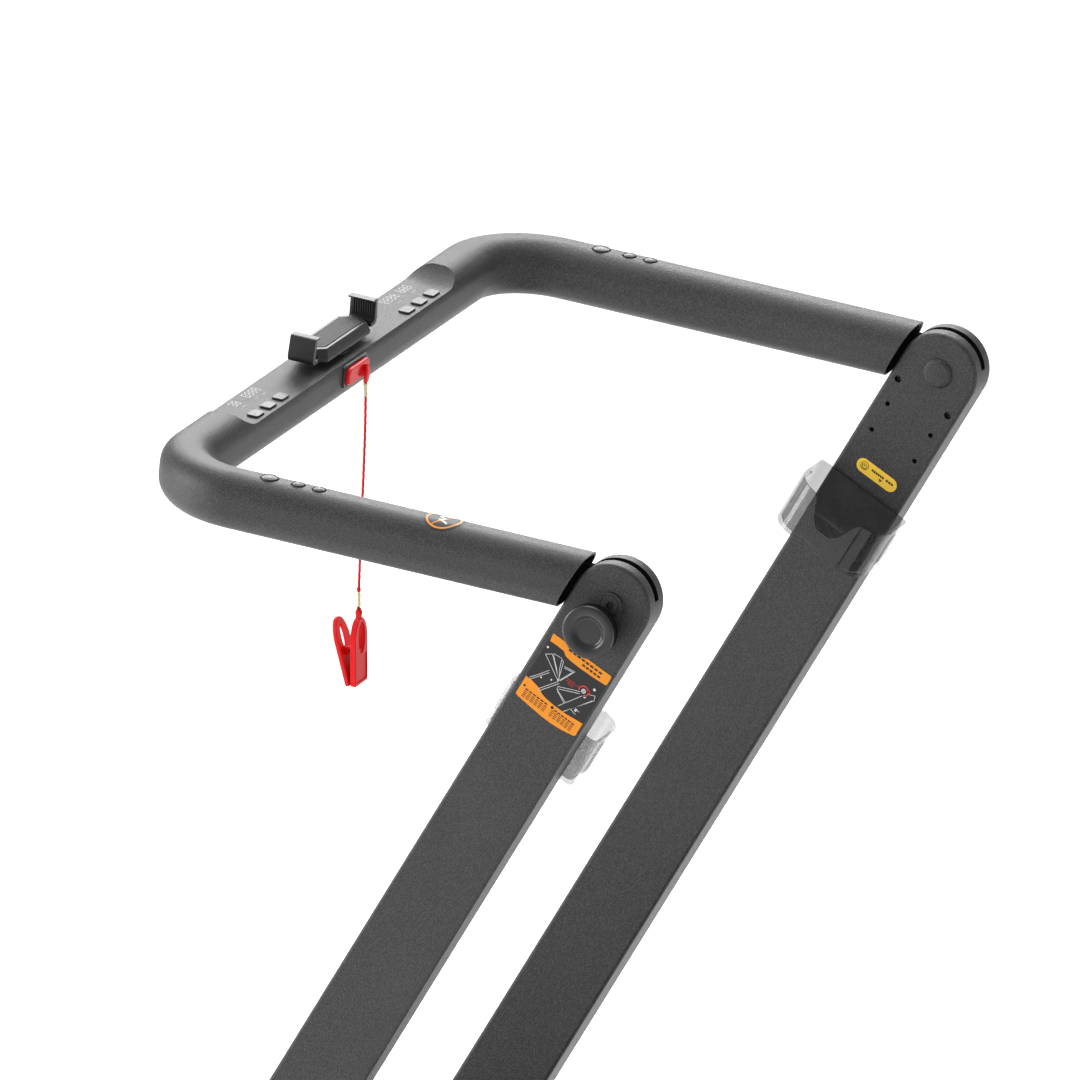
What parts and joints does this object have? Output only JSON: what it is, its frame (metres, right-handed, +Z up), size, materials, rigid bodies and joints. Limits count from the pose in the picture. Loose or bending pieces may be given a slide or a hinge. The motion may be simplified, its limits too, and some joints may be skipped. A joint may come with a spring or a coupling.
{
  "type": "treadmill",
  "caption": "Walking treadmill with a low deck, leaning uprights and a U-shaped adjustable handrail with console, phone holder and safety key.",
  "frame": {"origin": "on the floor, at the middle of the treadmill's footprint", "axes": "+Y is the way the walker faces, +X is the walker's right, +Z is up"},
  "size_m": [0.7246, 1.254, 1.0696],
  "materials": {
    "powder_coat": "fine-grained matte charcoal powder coat",
    "black_plastic": "fine-textured matte black plastic",
    "satin_black": "satin black plastic",
    "black_rubber": "matte black rubber",
    "dark_steel": "dark zinc-plated steel",
    "deck_board": "sealed fibreboard",
    "circuit_green": "circuit board lacquer",
    "smoke_clear": "smoke-tinted clear plastic, glossy",
    "red_plastic": "bright red moulded plastic",
    "red_cord": "twisted red cord",
    "pale_brass": "pale brass, satin"
  },
  "bodies": {
    "deck": {"deck_frame": "dark_steel", "deck_board": "deck_board", "walking_belt": "black_rubber", "foot_rail_left": "satin_black", "foot_rail_right": "satin_black", "rear_foot_left": "black_rubber", "rear_foot_right": "black_rubber", "front_foot_bar": "black_rubber", "motor_hood": "black_plastic", "motor": "satin_black", "drive_belt": "black_rubber", "power_inlet": "satin_black", "base_bracket_left": "dark_steel", "base_bracket_right": "dark_steel"},
    "uprights": {"upright_left": "powder_coat", "upright_right": "powder_coat", "handrail_pivot_bolt_left": "dark_steel", "handrail_pivot_bolt_right": "dark_steel", "base_pivot_bolt_left": "dark_steel", "base_pivot_bolt_right": "dark_steel", "storage_tray_left": "smoke_clear", "storage_tray_right": "smoke_clear"},
    "handrail": {"handrail_tube": "powder_coat", "tongue_left": "dark_steel", "tongue_right": "dark_steel", "console_panel": "black_plastic", "circuit_board": "circuit_green", "key_socket": "black_plastic", "phone_swivel_base": "black_plastic"},
    "phone_holder": {"phone_holder_body": "black_plastic"},
    "phone_jaw_left": {"phone_jaw_left": "black_rubber"},
    "phone_jaw_right": {"phone_jaw_right": "black_rubber"},
    "safety_key": {"safety_key": "red_plastic", "cord_ferrule_upper": "pale_brass", "safety_cord": "red_cord", "cord_ferrule_lower": "pale_brass", "clip_front_leaf": "red_plastic"},
    "clip_rear_leaf": {"clip_rear_leaf": "red_plastic"},
    "locking_knob_left": {"locking_knob_left": "black_plastic"},
    "locking_knob_right": {"locking_knob_right": "black_plastic"},
    "base_knob_left": {"base_knob_left": "black_plastic"},
    "base_knob_right": {"base_knob_right": "black_plastic"},
    "front_roller": {"front_roller": "dark_steel"},
    "rear_roller": {"rear_roller": "dark_steel"},
    "motor_rotor": {"motor_shaft_and_flywheel": "dark_steel"},
    "transport_wheel_left": {"transport_wheel_left": "black_rubber"},
    "transport_wheel_right": {"transport_wheel_right": "black_rubber"},
    "power_switch": {"power_switch": "satin_black"},
    "console_button_left_1": {"console_button_left_1": "black_plastic"},
    "arm_button_left_1": {"arm_button_left_1": "black_plastic"},
    "console_button_left_2": {"console_button_left_2": "black_plastic"},
    "arm_button_left_2": {"arm_button_left_2": "black_plastic"},
    "console_button_left_3": {"console_button_left_3": "black_plastic"},
    "arm_button_left_3": {"arm_button_left_3": "black_plastic"},
    "console_button_right_1": {"console_button_right_1": "black_plastic"},
    "arm_button_right_1": {"arm_button_right_1": "black_plastic"},
    "console_button_right_2": {"console_button_right_2": "black_plastic"},
    "arm_button_right_2": {"arm_button_right_2": "black_plastic"},
    "console_button_right_3": {"console_button_right_3": "black_plastic"},
    "arm_button_right_3": {"arm_button_right_3": "black_plastic"}
  },
  "joints": [
    {"name": "base_fold", "type": "hinge", "parent": "deck", "child": "uprights", "pos_m": [0, 0.44, 0.165], "axis": [1, 0, 0], "range_deg": [0, 59.36]},
    {"name": "handrail_angle", "type": "hinge", "parent": "uprights", "child": "handrail", "pos_m": [0, -0.04263, 0.97979], "axis": [1, 0, 0], "range_deg": [0, 114.75]},
    {"name": "phone_swivel", "type": "hinge", "parent": "handrail", "child": "phone_holder", "pos_m": [0, 0.33823, 1.03969], "axis": [0, -0.1026, 0.9947], "range_deg": [-90, 90]},
    {"name": "phone_jaw_left_slide", "type": "slide", "parent": "phone_holder", "child": "phone_jaw_left", "axis": [-1, 0, 0], "range_m": [0, 0.022], "stiffness_N_per_m": 60},
    {"name": "phone_jaw_right_slide", "type": "slide", "parent": "phone_holder", "child": "phone_jaw_right", "axis": [1, 0, 0], "range_m": [0, 0.022]},
    {"name": "console_button_left_1_press", "type": "slide", "parent": "handrail", "child": "console_button_left_1", "axis": [0, 0.1026, -0.9947], "range_m": [0, 0.0012], "stiffness_N_per_m": 400},
    {"name": "console_button_left_2_press", "type": "slide", "parent": "handrail", "child": "console_button_left_2", "axis": [0, 0.1026, -0.9947], "range_m": [0, 0.0012], "stiffness_N_per_m": 400},
    {"name": "console_button_left_3_press", "type": "slide", "parent": "handrail", "child": "console_button_left_3", "axis": [0, 0.1026, -0.9947], "range_m": [0, 0.0012], "stiffness_N_per_m": 400},
    {"name": "console_button_right_1_press", "type": "slide", "parent": "handrail", "child": "console_button_right_1", "axis": [0, 0.1026, -0.9947], "range_m": [0, 0.0012], "stiffness_N_per_m": 400},
    {"name": "console_button_right_2_press", "type": "slide", "parent": "handrail", "child": "console_button_right_2", "axis": [0, 0.1026, -0.9947], "range_m": [0, 0.0012], "stiffness_N_per_m": 400},
    {"name": "console_button_right_3_press", "type": "slide", "parent": "handrail", "child": "console_button_right_3", "axis": [0, 0.1026, -0.9947], "range_m": [0, 0.0012], "stiffness_N_per_m": 400},
    {"name": "arm_button_left_1_press", "type": "slide", "parent": "handrail", "child": "arm_button_left_1", "axis": [0, 0.1026, -0.9947], "range_m": [0, 0.001], "stiffness_N_per_m": 400},
    {"name": "arm_button_left_2_press", "type": "slide", "parent": "handrail", "child": "arm_button_left_2", "axis": [0, 0.1026, -0.9947], "range_m": [0, 0.001], "stiffness_N_per_m": 400},
    {"name": "arm_button_left_3_press", "type": "slide", "parent": "handrail", "child": "arm_button_left_3", "axis": [0, 0.1026, -0.9947], "range_m": [0, 0.001], "stiffness_N_per_m": 400},
    {"name": "arm_button_right_1_press", "type": "slide", "parent": "handrail", "child": "arm_button_right_1", "axis": [0, 0.1026, -0.9947], "range_m": [0, 0.001], "stiffness_N_per_m": 400},
    {"name": "arm_button_right_2_press", "type": "slide", "parent": "handrail", "child": "arm_button_right_2", "axis": [0, 0.1026, -0.9947], "range_m": [0, 0.001], "stiffness_N_per_m": 400},
    {"name": "arm_button_right_3_press", "type": "slide", "parent": "handrail", "child": "arm_button_right_3", "axis": [0, 0.1026, -0.9947], "range_m": [0, 0.001], "stiffness_N_per_m": 400},
    {"name": "safety_key_pull", "type": "slide", "parent": "handrail", "child": "safety_key", "axis": [0, -0.9947, -0.1026], "range_m": [0, 0.02]},
    {"name": "clip_squeeze", "type": "hinge", "parent": "safety_key", "child": "clip_rear_leaf", "pos_m": [0.0058, 0.32393, 0.79656], "axis": [1, 0, 0], "range_deg": [0, 22], "stiffness_Nm_per_rad": 0.05},
    {"name": "locking_knob_left_turn", "type": "hinge", "parent": "uprights", "child": "locking_knob_left", "pos_m": [-0.324, -0.03193, 0.96172], "axis": [-1, 0, 0], "range_deg": [0, 540]},
    {"name": "locking_knob_right_turn", "type": "hinge", "parent": "uprights", "child": "locking_knob_right", "pos_m": [0.324, -0.03193, 0.96172], "axis": [1, 0, 0], "range_deg": [0, 540]},
    {"name": "base_knob_left_turn", "type": "hinge", "parent": "uprights", "child": "base_knob_left", "pos_m": [-0.324, 0.41707, 0.20372], "axis": [-1, 0, 0], "range_deg": [0, 540]},
    {"name": "base_knob_right_turn", "type": "hinge", "parent": "uprights", "child": "base_knob_right", "pos_m": [0.324, 0.41707, 0.20372], "axis": [1, 0, 0], "range_deg": [0, 540]},
    {"name": "front_roller_spin", "type": "hinge", "parent": "deck", "child": "front_roller", "pos_m": [0, 0.4, 0.0785], "axis": [1, 0, 0], "continuous": true},
    {"name": "rear_roller_spin", "type": "hinge", "parent": "deck", "child": "rear_roller", "pos_m": [0, -0.57, 0.0785], "axis": [1, 0, 0], "continuous": true},
    {"name": "motor_spin", "type": "hinge", "parent": "deck", "child": "motor_rotor", "pos_m": [0, 0.5, 0.11], "axis": [1, 0, 0], "continuous": true},
    {"name": "transport_wheel_left_roll", "type": "hinge", "parent": "deck", "child": "transport_wheel_left", "pos_m": [-0.211, 0.597, 0.028], "axis": [1, 0, 0], "continuous": true},
    {"name": "transport_wheel_right_roll", "type": "hinge", "parent": "deck", "child": "transport_wheel_right", "pos_m": [0.211, 0.597, 0.028], "axis": [1, 0, 0], "continuous": true},
    {"name": "power_switch_rock", "type": "hinge", "parent": "deck", "child": "power_switch", "pos_m": [-0.06, 0.617, 0.07], "axis": [1, 0, 0], "range_deg": [0, 16]}
  ],
  "couplings": [
    {"joint": "phone_jaw_right_slide", "follows": "phone_jaw_left_slide", "ratio": 1},
    {"joint": "rear_roller_spin", "follows": "front_roller_spin", "ratio": 1},
    {"joint": "motor_spin", "follows": "front_roller_spin", "ratio": 1.5357}
  ]
}
